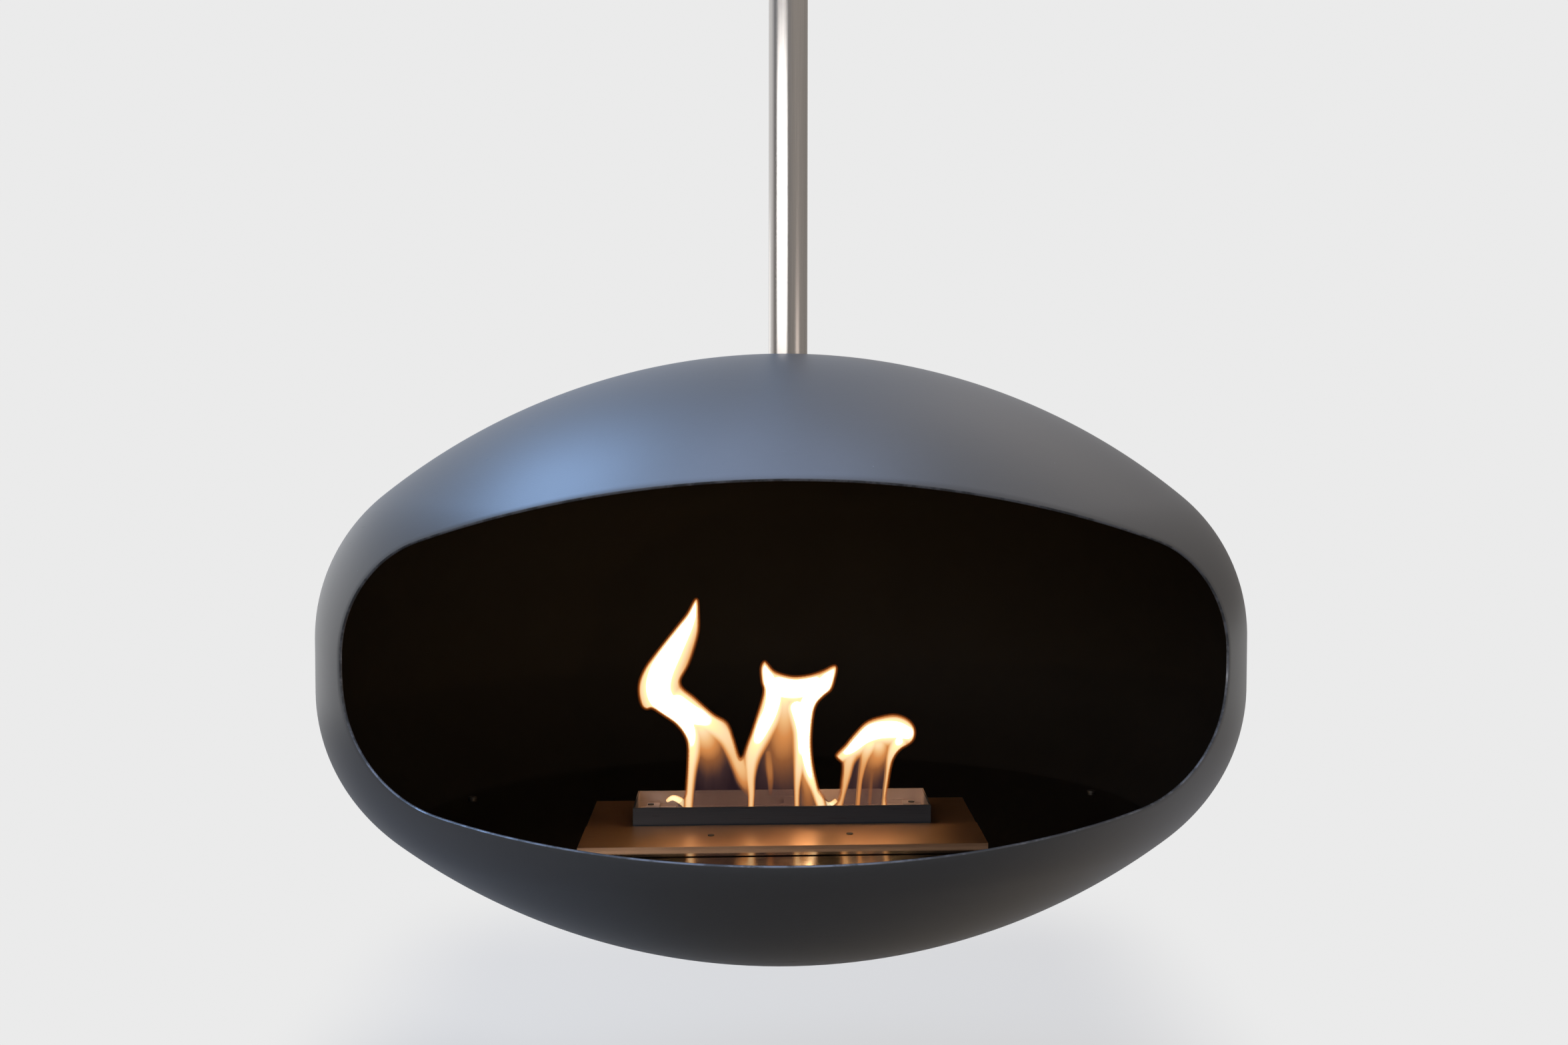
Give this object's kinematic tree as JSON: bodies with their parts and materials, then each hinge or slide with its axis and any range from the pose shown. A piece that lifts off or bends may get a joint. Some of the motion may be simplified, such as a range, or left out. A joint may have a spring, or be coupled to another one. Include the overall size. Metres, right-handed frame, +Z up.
{
  "type": "hanging fireplace",
  "caption": "Hanging fireplace: a dished round steel shell with a wide front mouth and a slot burner inside, carried on a swivelling pole from a ceiling plate.",
  "frame": {"origin": "centre of the ceiling plate's top face, where it meets the ceiling", "axes": "+Z up, the mouth faces -Y, +X to the right of a viewer who faces the mouth"},
  "size_m": [1, 0.9649, 1.6545],
  "materials": {
    "zinc_steel": "zinc plated, satin",
    "black_screws": "black oxide",
    "bronze": "sintered bronze",
    "pole_steel": "lengthwise brushed stainless",
    "ceiling_paint": "matte graphite paint",
    "shell_paint": "matte graphite heat-resistant paint",
    "hearth_steel": "dark polished stainless",
    "plate_steel": "brushed stainless",
    "burner_steel": "brushed stainless, heat darkened",
    "fibre": "ceramic wool"
  },
  "bodies": {
    "ceiling": {"ceiling_plate": "zinc_steel", "bearing_housing": "zinc_steel", "housing_bolts": "black_screws", "bushing": "bronze", "lower_race": "zinc_steel", "bearing_balls": "zinc_steel", "bearing_cage": "bronze"},
    "hanger": {"upper_race": "zinc_steel", "spindle": "zinc_steel", "spindle_screws": "black_screws", "pole": "pole_steel", "upper_dome": "shell_paint", "lower_bowl": "shell_paint", "dome_hub": "zinc_steel", "hub_bolt": "black_screws", "hub_nut": "zinc_steel", "support_ring": "shell_paint", "hearth_floor": "hearth_steel", "hearth_front": "hearth_steel", "floor_screws": "black_screws"},
    "canopy": {"canopy": "ceiling_paint", "canopy_collar": "ceiling_paint", "canopy_screw": "black_screws"},
    "burner": {"burner_plate": "plate_steel", "front_strip": "plate_steel", "strip_screws": "black_screws", "trough": "burner_steel", "fuel_tank": "burner_steel", "ceramic_pad": "fibre", "burner_cover": "burner_steel", "guide_left": "burner_steel", "guide_right": "burner_steel", "guide_screws": "black_screws"},
    "damper": {"damper": "burner_steel", "damper_tab": "burner_steel"}
  },
  "joints": [
    {"name": "swivel", "type": "hinge", "parent": "ceiling", "child": "hanger", "pos_m": [0, 0, 0], "axis": [0, 0, 1], "continuous": true},
    {"name": "canopy_slide", "type": "slide", "parent": "hanger", "child": "canopy", "axis": [0, 0, -1], "range_m": [0, 0.2]},
    {"name": "burner_lift", "type": "slide", "parent": "hanger", "child": "burner", "axis": [0, 0, 1], "range_m": [0, 0.1]},
    {"name": "damper_slide", "type": "slide", "parent": "burner", "child": "damper", "axis": [0, -1, 0], "range_m": [0, 0.029]}
  ]
}
